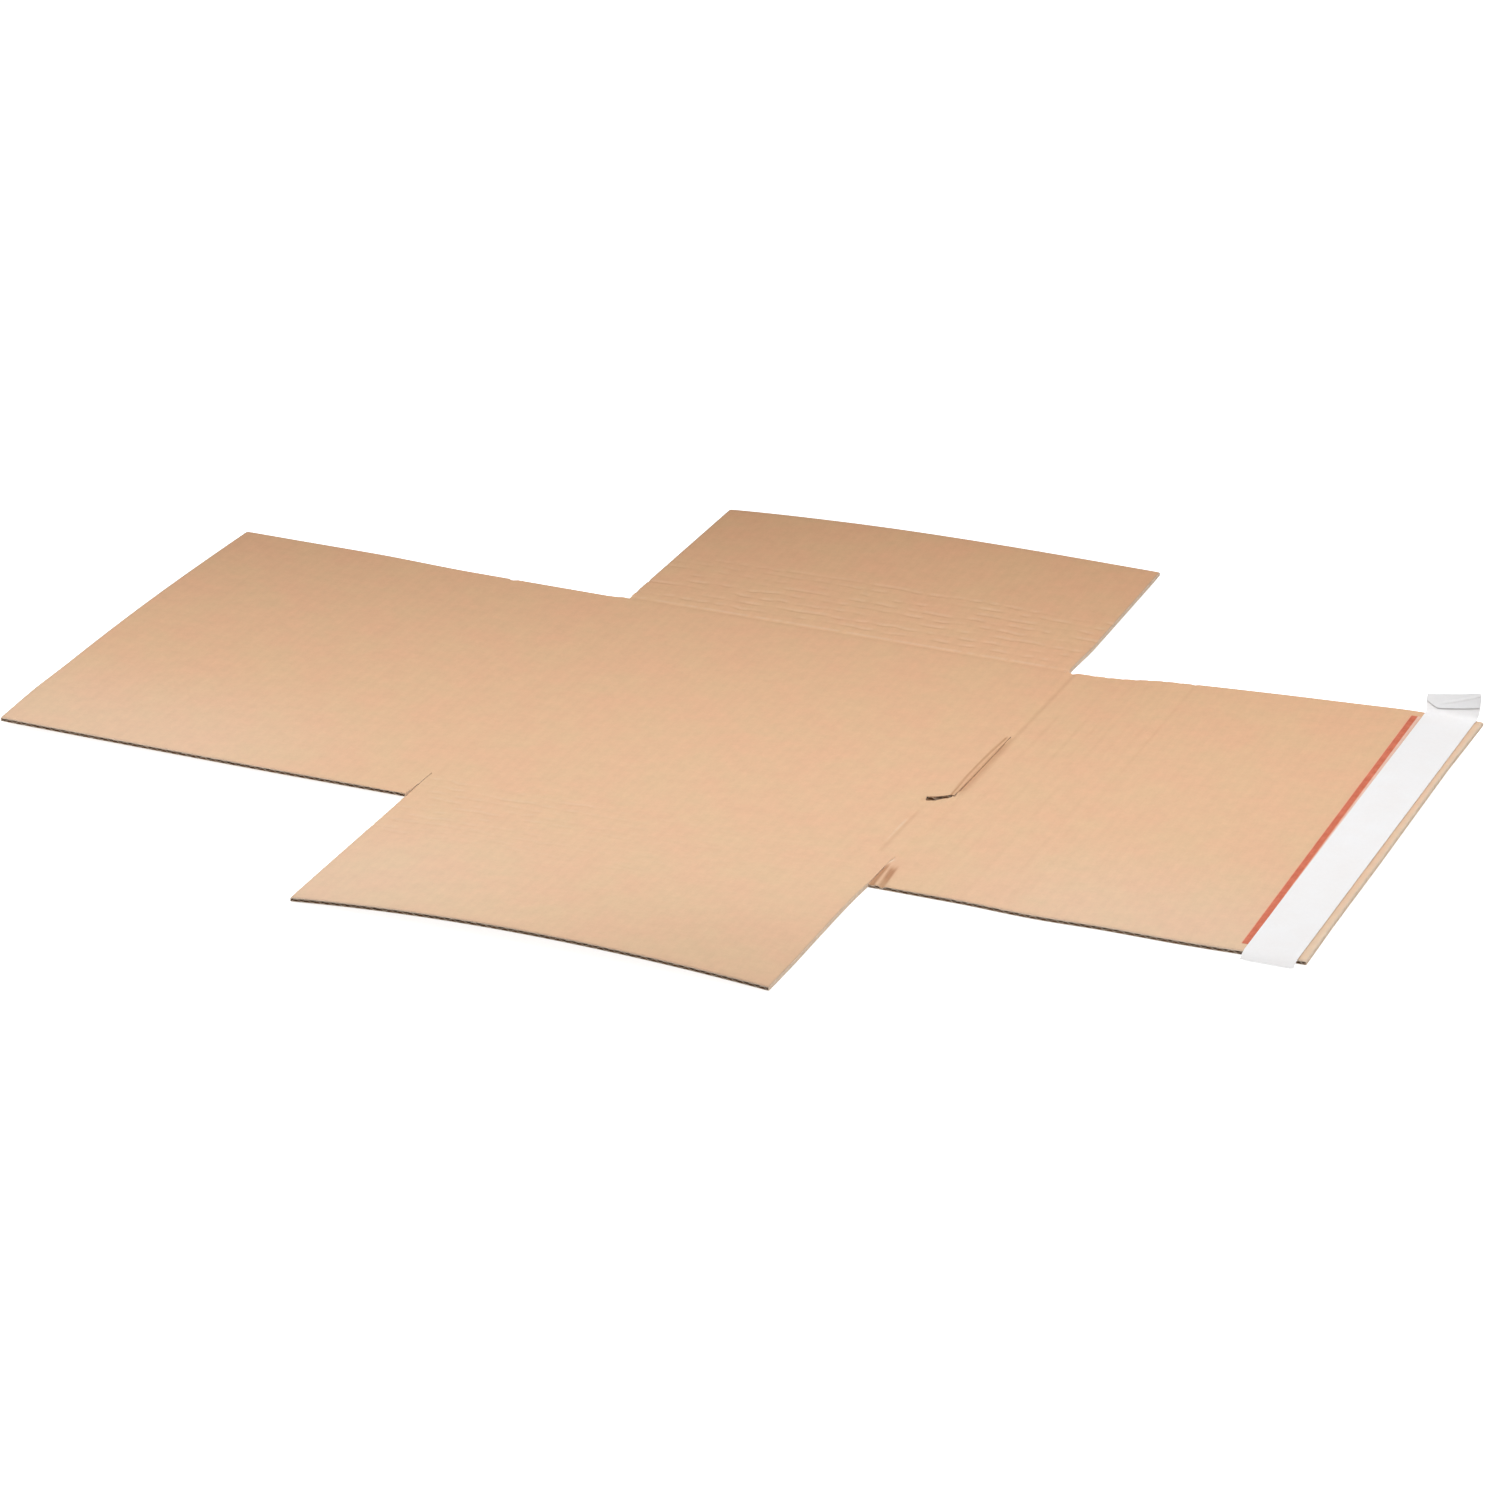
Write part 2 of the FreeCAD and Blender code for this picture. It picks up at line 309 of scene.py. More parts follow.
def left_shift(x, y):
    """The far edge runs in a little beside the middle panel, and has a small nick."""
    far = ramp(y, 60, HALF_DEPTH) * ramp(-x, HALF_WIDTH, HALF_WIDTH + 12)
    nick = 2.0 * np.clip(1 - np.abs(x + 223) / 3.0, 0, 1) * ramp(y, HALF_DEPTH - 3, HALF_DEPTH)
    dx = -0.8 * valley(y + 120, 45) * ramp(-x, 395, -LEFT_TIP)
    return dx, -2.6 * ramp(x, -325, -250) * far - nick


def waist(y):
    """Where the front flap and the right panel meet a little further left."""
    return ramp(-y, 126, 134) * ramp(y, -240, -175)


def right_shift(x, y):
    beside = (1 - ramp(x, HALF_WIDTH + 1, 165)) * (x > HALF_WIDTH - 0.1)
    beside_slit = 0.7 * ramp(y, SLIT_FRONT, SLIT_FRONT + 3) * ramp(-y, -SLIT_BACK, -SLIT_BACK + 3)
    dx = -beside * (0.25 * ramp(-y, 125, 128) + 0.8 * waist(y) + beside_slit)
    tip = np.interp(far_share(y), [0, 0.15, 0.4, 0.8, 1.0], [-0.7, -1.1, -0.6, -0.9, 0.5])
    dx = dx + tip * ramp(x, 396.5, RIGHT_TIP)
    near = 3.0 * ramp(-x, -402, -320) + 1.9 * valley(x - 243, 48)
    dy = slant(x, y) - near * ramp(-y, 80, HALF_DEPTH) * (x > HALF_WIDTH - 0.1)
    return dx, dy


def front_shift(x, y):
    return -0.8 * ramp(x, 90, FLAP_HALF) * waist(y), np.zeros_like(x)


def back_shift(x, y):
    """The left edge runs a little outwards, and the right one is cut back at the crease."""
    beyond = y > HALF_DEPTH - 0.1
    cut_back = 1.7 * ramp(x, 90, FLAP_HALF) * ramp(-y, -205, -165)
    return -(0.9 * ramp(-x, 60, FLAP_HALF) + cut_back) * beyond, np.zeros_like(x)


# Painted light and shade: how much the liner is darkened on the shaded sides of creases, scores,
# folds and cuts, and paled on their lit sides and where more light falls, with a few darker or paler
# tone marks at edges and corners.

def no_painted_light(x, y):
    return np.zeros_like(x), np.zeros_like(x)


def middle_painted_light(x, y):
    # Painted shade on the near side of the back crease, on the right of the tongue line, along the
    # fold of the lip and on its bent edge; painted highlight dashes on the left of the tongue line.
    back = valley(y - HALF_DEPTH + 3.5, 3.0)
    lip = on_lip(y)
    fold = 0.8 * valley(x - 143.3 + 0.8 * np.sin(math.pi * slit_run(y)), 1.0) * lip
    dark = 0.05 * back + 0.16 * tongue_line(x - 1.6, y) + fold
    dark = dark + 0.25 * ramp(x, 143.6, FLAP_HALF) * lip
    dashes = ramp(long_strength(0 * x, y * 3.2), 0.45, 0.7)
    on_tongue = tongue_line(x + 1.6, y) > 0
    return dark, 0.5 * valley(x - TONGUE_ROOT + 0.8, 1.3) * dashes * on_tongue


def left_painted_light(x, y):
    """Painted light: the panel is paler towards its near outer corner, where more light falls."""
    return np.zeros_like(x), 0.4 * ramp(-y, 20, HALF_DEPTH) * ramp(-x, 150, 320)


def back_painted_light(x, y):
    # Painted shade on the near side of each score and of the crease, and painted highlight on their
    # far sides.
    fade = back_fade(x, y)
    rows = cross_rows(x, y + 1.3, BACK_ROWS, 0, 2.2)
    lit = cross_rows(x, y - 1.4, BACK_ROWS, 0, 1.9)
    dark = 0.17 * rows * fade + 0.06 * valley(y - HALF_DEPTH + 2.6, 2.6)
    ripple = ramp(row_strength(x * 1.3, 17 + 0 * y), 0.1, 0.5)
    return dark, 0.25 * lit * fade + 0.35 * ripple * valley(y - HALF_DEPTH - 2.4, 1.5)


def front_painted_light(x, y):
    # Painted shade on the near side of each score and painted highlight on its far side; painted
    # shade, darker and warmer, towards the near right corner, and painted light towards the near
    # left corner.
    fade = front_fade(x, y)
    rows = cross_rows(x, y + 1.2, FRONT_ROWS, 400, 2.2)
    warmer = 0.15 * ramp(x, -40, 110) * ramp(-y, 190, 300)
    paler = 0.4 * ramp(-x, -20, 145) * ramp(-y, 140, 290)
    lit = 0.22 * fade * cross_rows(x, y - 1.3, FRONT_ROWS, 400, 1.9)
    return 0.12 * rows * fade + warmer, lit + paler


def right_painted_light_and_tone(x, y):
    # Painted shade in the two crushed folds, beside the slit, on the outer side of the crease and on
    # the outer side of each score; painted highlight at the upper end of the first fold and over the
    # near part of the panel. The strip by the tip edge is paler.
    first, second = kink_lines(x, y)
    first = np.clip(1.3 * valley(first + 0.2, 2.9), 0, 0.9) * ramp(-y, 131, 139)
    second = np.clip(1.35 * valley(second, 3.0), 0, 0.9) * ramp(-y, 132.5, 141)
    second = second * (1 - 0.3 * ramp(-y, 148, HALF_DEPTH))
    kinks = np.maximum(first, second)
    beside_slit = 0.38 * (1 - ramp(x, 146, 153)) * along_slit(y)
    crease = 0.12 * valley(x - HALF_WIDTH - 3.2 - crease_splay(y), 2.6) * (y > SLIT_BACK - 8)
    lit = 1.3 * valley(x - 145.6, 1.6) * valley(y + 129.5, 4.5)
    lit = lit + (0.5 + 0.4 * far_share(y)) * ramp(x, 394, 398)
    lit = lit + 0.35 * ramp(-y, 40, HALF_DEPTH) * ramp(x, 150, 280)
    rows = np.zeros_like(x)
    for centre in RIGHT_ROWS:
        rows = np.maximum(rows, valley(score_line(x, y, centre) - 1.2, 2.2))
    strength = ramp(long_strength(x * 0 + 5, y), 0.2, 0.8)
    return np.clip(kinks + beside_slit + crease + 0.05 * rows * strength, 0, 1), lit


# Meshes

class Build:
    """Gathers slabs into one mesh with the flat sheet's coordinates and the painted light and shade
    on it.
    """

    def __init__(self):
        self.points = []
        self.wear = []
        self.quads = []
        self.looks = []
        self.count = 0

    def add(self, points, wear, quads, looks):
        self.points.append(points)
        self.wear.append(wear)
        self.quads.append(quads + self.count)
        self.looks.append(looks)
        self.count += len(points)

    def slab(self, xs, ys, keep, low, high, shift, wear, face_look, wall_look):
        """A closed sheet over the kept cells of a grid, between two height functions."""
        x, y = np.meshgrid(xs, ys, indexing="ij")
        size = x.size
        index = np.arange(size).reshape(x.shape)
        dx, dy = shift(x, y)
        points = np.concatenate([np.stack([x + dx, y + dy, high(x, y)], -1).reshape(-1, 3),
                                 np.stack([x + dx, y + dy, low(x, y)], -1).reshape(-1, 3)])
        light_and_tone_values = np.stack(wear(x, y), -1).reshape(-1, 2)
        light_and_tone_values = np.concatenate([light_and_tone_values, light_and_tone_values])
        cx, cy = np.meshgrid((xs[1:] + xs[:-1]) / 2, (ys[1:] + ys[:-1]) / 2, indexing="ij")
        kept = keep(cx, cy)
        a, b, c, d = index[:-1, :-1], index[1:, :-1], index[1:, 1:], index[:-1, 1:]
        top = np.stack([a, b, c, d], -1)[kept]
        quads = [top, top[:, ::-1] + size]
        looks = [np.full(2 * len(top), face_look)]
        padded = np.pad(kept, 1)
        for place, start, end in (((0, 1), a, d), ((2, 1), c, b), ((1, 0), b, a), ((1, 2), d, c)):
            other = padded[place[0]:place[0] + kept.shape[0], place[1]:place[1] + kept.shape[1]]
            rim = kept & ~other
            p, q = start[rim], end[rim]
            quads.append(np.stack([p, q, q + size, p + size], -1))
            looks.append(np.full(len(p), wall_look))
        quads = np.concatenate(quads)
        used = np.unique(quads)
        renumber = np.zeros(2 * size, int)
        renumber[used] = np.arange(len(used))
        self.add(points[used], light_and_tone_values[used], renumber[quads], np.concatenate(looks))

    def sheet(self, middle, thickness, look, light_and_tone_values=None):
        """A closed thin sheet on both sides of a grid of points."""
        du = np.gradient(middle, axis=0)
        dv = np.gradient(middle, axis=1)
        normal = np.cross(du, dv)
        normal /= np.linalg.norm(normal, axis=-1, keepdims=True)
        rows, columns = middle.shape[:2]
        size = rows * columns
        index = np.arange(size).reshape(rows, columns)
        points = np.concatenate([(middle + normal * thickness / 2).reshape(-1, 3),
                                 (middle - normal * thickness / 2).reshape(-1, 3)])
        top = np.stack([index[:-1, :-1], index[1:, :-1], index[1:, 1:], index[:-1, 1:]], -1)
        top = top.reshape(-1, 4)
        quads = [top, top[:, ::-1] + size]
        for rim in (index[::-1, 0], index[-1, ::-1], index[:, -1], index[0, :]):
            p, q = rim[:-1], rim[1:]
            quads.append(np.stack([p, q, q + size, p + size], -1))
        quads = np.concatenate(quads)
        if light_and_tone_values is None:
            light_and_tone_values = np.zeros((size, 2))
        self.add(points, np.concatenate([light_and_tone_values, light_and_tone_values]), quads, np.full(len(quads), look))

    def finish(self, name, materials):
        points = np.concatenate(self.points) * MM
        wear = np.concatenate(self.wear)
        quads = np.concatenate(self.quads)
        mesh = bpy.data.meshes.new(name)
        mesh.vertices.add(len(points))
        mesh.vertices.foreach_set("co", points.astype(np.float32).ravel())
        mesh.loops.add(quads.size)
        mesh.loops.foreach_set("vertex_index", quads.astype(np.int32).ravel())
        mesh.polygons.add(len(quads))
        mesh.polygons.foreach_set("loop_start", np.arange(0, quads.size, 4, dtype=np.int32))
        mesh.polygons.foreach_set("material_index",
                                  np.concatenate(self.looks).astype(np.int32))
        mesh.update(calc_edges=True)
        for layer_name, values in (("flat", points[:, :2]), ("wear", wear)):
            layer = mesh.uv_layers.new(name=layer_name)
            layer.data.foreach_set("uv", values[quads.ravel()].astype(np.float32).ravel())
        mesh.validate()
        mesh.shade_smooth()
        mesh.set_sharp_from_angle(angle=math.radians(38))
        for material in materials:
            mesh.materials.append(material)
        piece = bpy.data.objects.new(name, mesh)
        bpy.context.scene.collection.objects.link(piece)
        return piece


def lines(breaks, step, fine=()):
    """Grid lines through every break, at most step apart, or closer inside the fine spans."""
    cuts = set(breaks)
    for start, end, _ in fine:
        cuts |= {start, end}
    cuts = sorted(c for c in cuts if min(breaks) <= c <= max(breaks))
    result = [cuts[0]]
    for start, end in zip(cuts[:-1], cuts[1:]):
        middle = (start + end) / 2
        spacing = min([step] + [s for a, b, s in fine if a <= middle <= b])
        count = max(1, math.ceil((end - start) / spacing - 1e-6))
        result += [start + (end - start) * k / count for k in range(1, count + 1)]
    return np.array(result)


def board(name, grid, under_grid, core_grid, keep, under, pressed, end_rim, side_rim,
          shift, wear, look):
    """Two liners, the fluted paper between them, and the closed edges along the flutes."""
    build = Build()

    def crushed(x, y):
        ends = 0.55 * np.exp(-np.clip(end_rim(x, y), 0, None) / 0.8)
        return ends + 0.3 * np.exp(-np.clip(side_rim(x, y), 0, None) / 0.7)

    def painted_light_and_rim(x, y):
        # The board's painted light and shade, with a thin darker, greyer line along its outer cut
        # edges.
        dark, lit = wear(x, y)
        nearest = np.clip(np.minimum(end_rim(x, y), side_rim(x, y)), 0, None)
        rim = np.exp(-nearest / 0.5) * ramp(np.maximum(np.abs(x), np.abs(y)), 158, 185)
        return dark + rim, lit + 0.9 * rim

    def low(x, y):
        return under(x, y) + 0.45 * crushed(x, y)

    def top(x, y):
        return under(x, y) + BOARD - np.minimum(pressed(x, y) + crushed(x, y), 1.95)

    def wave(x, y):
        gap = top(x, y) - low(x, y) - 2 * LINER - CORE - 0.04
        swing = 0.5 + 0.5 * np.clip(1.25 * np.cos(2 * math.pi * x / FLUTE_PITCH), -1, 1)
        return low(x, y) + LINER + 0.02 + np.clip(gap, 0, None) * swing

    def keep_core(x, y):
        return keep(x, y) & (side_rim(x, y) > 0.5)

    def keep_wall(x, y):
        return keep(x, y) & (side_rim(x, y) < 0.3)

    build.slab(*grid, keep, lambda x, y: top(x, y) - LINER, top,
               shift, painted_light_and_rim, FACE, CUT_RIM)
    build.slab(*under_grid, keep, low, lambda x, y: low(x, y) + LINER,
               shift, no_painted_light, FACE, CUT_RIM)
    build.slab(*under_grid, keep_wall, lambda x, y: low(x, y) + LINER - 0.01,
               lambda x, y: np.maximum(top(x, y) - LINER + 0.01, low(x, y) + LINER),
               shift, no_painted_light, CLOSED, CLOSED)
    build.slab(*core_grid, keep_core, wave, lambda x, y: wave(x, y) + CORE,
               shift, no_painted_light, FLUTED, FLUTED)
    return build.finish(name, look)


# Materials

class Nodes:
    """A short way to wire one procedural material."""

    def __init__(self, name):
        self.material = bpy.data.materials.new(name)
        self.material.use_nodes = True
        self.tree = self.material.node_tree
        self.shader = self.tree.nodes["Principled BSDF"]
        self.flat = self.tree.nodes.new("ShaderNodeUVMap")
        self.flat.uv_map = "flat"

    def node(self, kind, **settings):
        made = self.tree.nodes.new(kind)
        for key, value in settings.items():
            setattr(made, key, value)
        return made

    def link(self, source, target):
        self.tree.links.new(source, target)

    def wear(self):
        """How much painted shade darkens each point, and how much painted light pales it."""
        layer = self.node("ShaderNodeUVMap", uv_map="wear")
        parts = self.node("ShaderNodeSeparateXYZ")
        self.link(layer.outputs["UV"], parts.inputs["Vector"])
        return parts.outputs["X"], parts.outputs["Y"]

    def place(self, stretch=(1, 1, 1), turn=0.0):
        mapping = self.node("ShaderNodeMapping")
        mapping.inputs["Scale"].default_value = stretch
        mapping.inputs["Rotation"].default_value = (0, 0, turn)
        self.link(self.flat.outputs["UV"], mapping.inputs["Vector"])
        return mapping.outputs["Vector"]

    def noise(self, scale, detail=2.0, roughness=0.5, stretch=(1, 1, 1), turn=0.0):
        made = self.node("ShaderNodeTexNoise")
        made.inputs["Scale"].default_value = scale
        made.inputs["Detail"].default_value = detail
        made.inputs["Roughness"].default_value = roughness
        self.link(self.place(stretch, turn), made.inputs["Vector"])
        return made.outputs["Fac"]

    def ramp(self, factor, stops):
        made = self.node("ShaderNodeValToRGB")
        while len(made.color_ramp.elements) < len(stops):
            made.color_ramp.elements.new(0.5)
        for element, (position, colour) in zip(made.color_ramp.elements, stops):
            element.position = position
            element.color = (*colour, 1)
        self.link(factor, made.inputs["Fac"])
        return made.outputs["Color"]

    def math(self, operation, first, second):
        made = self.node("ShaderNodeMath", operation=operation)
        for socket, value in zip(made.inputs, (first, second)):
            if isinstance(value, (int, float)):
                socket.default_value = value
            else:
                self.link(value, socket)
        return made.outputs["Value"]

    def span(self, factor, low, high, start=0.25, end=0.75):
        made = self.node("ShaderNodeMapRange")
        made.inputs["From Min"].default_value = start
        made.inputs["From Max"].default_value = end
        made.inputs["To Min"].default_value = low
        made.inputs["To Max"].default_value = high
        self.link(factor, made.inputs["Value"])
        return made.outputs["Result"]

    def tint(self, colour, brightness):
        """A colour scaled by a brightness near 1."""
        made = self.node("ShaderNodeVectorMath", operation="SCALE")
        self.link(colour, made.inputs[0])
        self.link(brightness, made.inputs["Scale"])
        return made.outputs["Vector"]

    def times(self, first, second):
        """Two colours multiplied."""
        made = self.node("ShaderNodeVectorMath", operation="MULTIPLY")
        self.link(first, made.inputs[0])
        self.link(second, made.inputs[1])
        return made.outputs["Vector"]

    def blend(self, factor, first, second):
        """The first colour, turning into the second as the factor grows."""
        made = self.node("ShaderNodeMix", data_type="RGBA")
        self.link(factor, made.inputs[0])
        self.link(first, made.inputs[6])
        made.inputs[7].default_value = (*second, 1)
        return made.outputs[2]

    def bump(self, height, strength, distance):
        made = self.node("ShaderNodeBump")
        made.inputs["Strength"].default_value = strength
        made.inputs["Distance"].default_value = distance
        self.link(height, made.inputs["Height"])
        self.link(made.outputs["Normal"], self.shader.inputs["Normal"])

    def finish(self, colour, roughness, specular):
        self.link(colour, self.shader.inputs["Base Color"])
        self.link(roughness, self.shader.inputs["Roughness"])
        self.shader.inputs["Specular IOR Level"].default_value = specular
        return self.material


def kraft(name, warm, cool, flecks):
    """Brown kraft liner: cloudy colour, long fibres, fine specks and the flutes behind it."""
    n = Nodes(name)
    clouds = n.noise(26, 3, 0.6)
    colour = n.ramp(clouds, [(0.36, cool), (0.64, warm)])
    # Painted light and shade: the sheet is paler towards its near edge, where more light falls, and
    # darker and warmer towards the far one, where less falls.
    across_sheet = n.node("ShaderNodeVectorMath", operation="DOT_PRODUCT")
    n.link(n.flat.outputs["UV"], across_sheet.inputs[0])
    across_sheet.inputs[1].default_value = (-0.128, 1, 0)
    far = n.span(across_sheet.outputs["Value"], 0, 1, -0.33, 0.33)
    colour = n.times(colour, n.ramp(far, [(0, (1, 1, 1)), (1, (1, 0.85, 0.735))]))
    dark, lit = n.wear()
    # Painted shade darkens the liner by the first channel, and painted light pales it by the second.
    colour = n.times(colour, n.ramp(dark, [(0, (1, 1, 1)), (1, (0.60, 0.47, 0.39))]))
    colour = n.blend(n.math("MULTIPLY", lit, 0.5), colour, (0.84, 0.70, 0.56))
    blotches = n.span(n.noise(95, 4, 0.6), 0.965, 1.035)
    fibres = n.span(n.noise(900, 3, 0.65, (1.0, 0.3, 1), 0.2), 1 - flecks, 1 + flecks)
    across = n.span(n.noise(650, 2, 0.6, (0.35, 1.0, 1), -0.3), 1 - flecks * 0.7,
                    1 + flecks * 0.7)
    wave = n.node("ShaderNodeTexWave", wave_type="BANDS", bands_direction="X",
                  wave_profile="SIN")
    wave.inputs["Scale"].default_value = 2 * math.pi / (FLUTE_PITCH * MM) / 20
    wave.inputs["Distortion"].default_value = 0.5
    wave.inputs["Detail"].default_value = 1.0
    n.link(n.flat.outputs["UV"], wave.inputs["Vector"])
    flutes = n.span(wave.outputs["Fac"], 0.994, 1.006)
    shade = n.math("MULTIPLY", n.math("MULTIPLY", blotches, fibres),
                   n.math("MULTIPLY", across, flutes))
    colour = n.tint(colour, shade)
    fine = n.noise(1700, 3, 0.7, (1, 0.5, 1), 0.4)
    height = n.math("ADD", n.math("MULTIPLY", fine, 0.5),
                    n.math("MULTIPLY", wave.outputs["Fac"], 0.35))
    n.bump(height, 0.35, 0.00006)
    return n.finish(colour, n.span(n.noise(300, 2), 0.78, 0.9), 0.22)


def cut_paper(name, light, dark, start=0.35, end=0.65):
    """The torn-looking cut edge of a liner or of the fluted paper."""
    n = Nodes(name)
    colour = n.ramp(n.noise(180, 3, 0.7), [(start, dark), (end, light)])
    colour = n.tint(colour, n.span(n.noise(1500, 2, 0.6), 0.9, 1.1))
    n.bump(n.noise(2400, 2), 0.3, 0.00005)
    return n.finish(colour, n.span(n.noise(500, 2), 0.85, 0.95), 0.15)


def liner_paper():
    """White silicone-coated release paper with faint clouds and a slight sheen."""
    n = Nodes("release_paper")
    colour = n.ramp(n.noise(48, 3, 0.5), [(0.3, (0.895, 0.875, 0.87)), (0.7, (0.905, 0.9, 0.905))])
    dark, lit = n.wear()
    # Painted light pales the tab where it is bent up, and painted shade greys its folded layer.
    colour = n.blend(n.math("MULTIPLY", lit, 0.45), colour, (0.97, 0.965, 0.97))
    colour = n.blend(dark, colour, (0.84, 0.845, 0.855))
    colour = n.tint(colour, n.span(n.noise(420, 3, 0.6), 0.985, 1.015))
    n.bump(n.noise(60, 3, 0.5, (1, 0.35, 1)), 0.25, 0.0004)
    return n.finish(colour, n.span(n.noise(90, 2), 0.5, 0.62), 0.3)


def adhesive_film():
    """Pale, tacky hot-melt film with small ripples."""
    n = Nodes("adhesive_film")
    colour = n.ramp(n.noise(120, 3), [(0.3, (0.78, 0.72, 0.58)), (0.7, (0.86, 0.8, 0.68))])
    n.bump(n.noise(500, 2), 0.3, 0.0001)
    return n.finish(colour, n.span(n.noise(200, 2), 0.2, 0.35), 0.5)


def tear_film(name, light, dark):
    """Satin film, a little lighter where the board shows through."""
    n = Nodes(name)
    colour = n.ramp(n.noise(140, 3, 0.6), [(0.3, dark), (0.7, light)])
    colour = n.tint(colour, n.span(n.noise(900, 2, 0.6, (1, 0.2, 1)), 0.94, 1.06))
    n.bump(n.noise(700, 2, 0.5, (1, 0.15, 1)), 0.2, 0.00005)
    return n.finish(colour, n.span(n.noise(250, 2), 0.4, 0.55), 0.3)


KRAFT = kraft("kraft_liner", (0.775, 0.512, 0.342), (0.752, 0.532, 0.346), 0.022)
EDGE = cut_paper("cut_liner_edge", (0.86, 0.72, 0.58), (0.74, 0.58, 0.44))
FLUTING = cut_paper("fluting", (0.90, 0.76, 0.61), (0.70, 0.54, 0.41), 0.50, 0.66)
SIDE = cut_paper("closed_edge", (0.84, 0.66, 0.50), (0.74, 0.56, 0.42))
# A darker copy of the cut edge: painted shade on the lip's walls beside the slit.
SHADED = cut_paper("shaded_slit_edge", (0.66, 0.46, 0.33), (0.52, 0.36, 0.25))
BOARD_LOOK = [KRAFT, EDGE, FLUTING, SIDE]


# Board

def in_slit(y):
    return (y > SLIT_FRONT - CUT) & (y < SLIT_BACK)


def middle_keep(x, y):
    """The middle panel without the bends of its four creases, which its flaps carry."""
    inner_x = np.abs(x) < HALF_WIDTH - BEND
    inner_y = (y > FRONT_CREASE + BEND) & (y < HALF_DEPTH - BEND)
    kept = (inner_x & inner_y) | (~inner_x & ~inner_y)
    lip = (y > SLIT_FRONT) & (y < SLIT_BACK) & (x > HALF_WIDTH - BEND) & (x < FLAP_HALF)
    side_cut = (y > SLIT_FRONT - CUT) & (y < SLIT_FRONT) & (x > TONGUE_ROOT)
    return (kept | lip) & ~side_cut


def left_keep(x, y):
    return (x < -HALF_WIDTH) | ((y > FRONT_CREASE + BEND) & (y < HALF_DEPTH - BEND))


def right_keep(x, y):
    bend = (y > FRONT_CREASE + BEND) & (y < HALF_DEPTH - BEND) & ~in_slit(y)
    return (x > HALF_WIDTH + CUT) | bend | ((x > HALF_WIDTH) & ~in_slit(y))


def flap_keep(x, y):
    """A front or back flap, cut back to its own width beyond the crease."""
    beyond = (y > HALF_DEPTH) | (y < FRONT_CREASE)
    return (beyond & (np.abs(x) < FLAP_HALF)) | (~beyond & (np.abs(x) < HALF_WIDTH - BEND))


# Distances from the cut edges: end rims show the flutes, side rims run along them.

def middle_end(x, y):
    return np.full(x.shape, 99.0)


def middle_side(x, y):
    lip = (x > 120) & on_lip(y)
    return np.where(lip, FLAP_HALF - x, 99)


def panel_end(x, y):
    return np.minimum(y + HALF_DEPTH, HALF_DEPTH - y)


def left_side(x, y):
    inner = np.where(y < FRONT_CREASE, np.clip(-HALF_WIDTH - x, 0, None), 99)
    return np.minimum(x - LEFT_TIP, inner)


def right_side(x, y):
    near = np.where(y < FRONT_CREASE, np.clip(x - HALF_WIDTH, 0, None), 99)
    slit = np.where(in_slit(y), np.clip(x - HALF_WIDTH - CUT, 0, None), 99)
    return np.minimum(RIGHT_TIP - x, np.minimum(near, slit))


def flap_end(x, y):
    return np.minimum(BACK_TIP - y, y - FRONT_TIP)


def flap_side(x, y):
    beyond = (y > HALF_DEPTH) | (y < FRONT_CREASE)
    return np.where(beyond, FLAP_HALF - np.abs(x), 99)


def edge_spans(*edges):
    """Close grid lines beside cut edges, for the crushed rim."""
    return [(edge - 1.5, edge + 1.5, 0.4) for edge in edges]


SEAM_X = [-HALF_WIDTH + BEND, HALF_WIDTH - BEND]
SEAM_Y = [FRONT_CREASE + BEND, HALF_DEPTH - BEND]
SLIT_Y = [SLIT_FRONT - CUT, SLIT_FRONT, SLIT_BACK]
SIDE_FINE = [(-153, -135, 1.0), (135, 155, 0.9)]
END_FINE = [(FRONT_CREASE - 5, FRONT_CREASE + 5, 0.8), (HALF_DEPTH - 6, HALF_DEPTH + 6, 0.9)]
ENDS = edge_spans(-HALF_DEPTH, HALF_DEPTH)
NEAR_SIDE = (-HALF_DEPTH, -130, 1.5)
FLUTE_STEP = FLUTE_PITCH / 8

middle_x = [-HALF_WIDTH, *SEAM_X, 120, TONGUE_ROOT, FLAP_HALF, HALF_WIDTH]
middle_y = [FRONT_CREASE, *SEAM_Y, *SLIT_Y, HALF_DEPTH]
middle = board(
    "middle_board",
    (lines(middle_x, 5, SIDE_FINE + [(120, 141, 0.9)] + edge_spans(FLAP_HALF)),
     lines(middle_y, 4, END_FINE + [(SLIT_FRONT - 4, SLIT_FRONT + 4, 1)])),
    (lines(middle_x, 9, [(120, 145, 2)] + edge_spans(FLAP_HALF)),
     lines(middle_y, 9, [(SLIT_FRONT - 4, SLIT_FRONT + 4, 1)])),
    (lines(middle_x, FLUTE_STEP), lines(middle_y, 12, END_FINE)),
    middle_keep, middle_under, middle_pressed, middle_end, middle_side, middle_shift, middle_painted_light,
    [KRAFT, SHADED, FLUTING, SHADED])
left_x = [LEFT_TIP, -HALF_WIDTH, SEAM_X[0]]
left_y = [-HALF_DEPTH, *SEAM_Y, FRONT_CREASE, HALF_DEPTH]
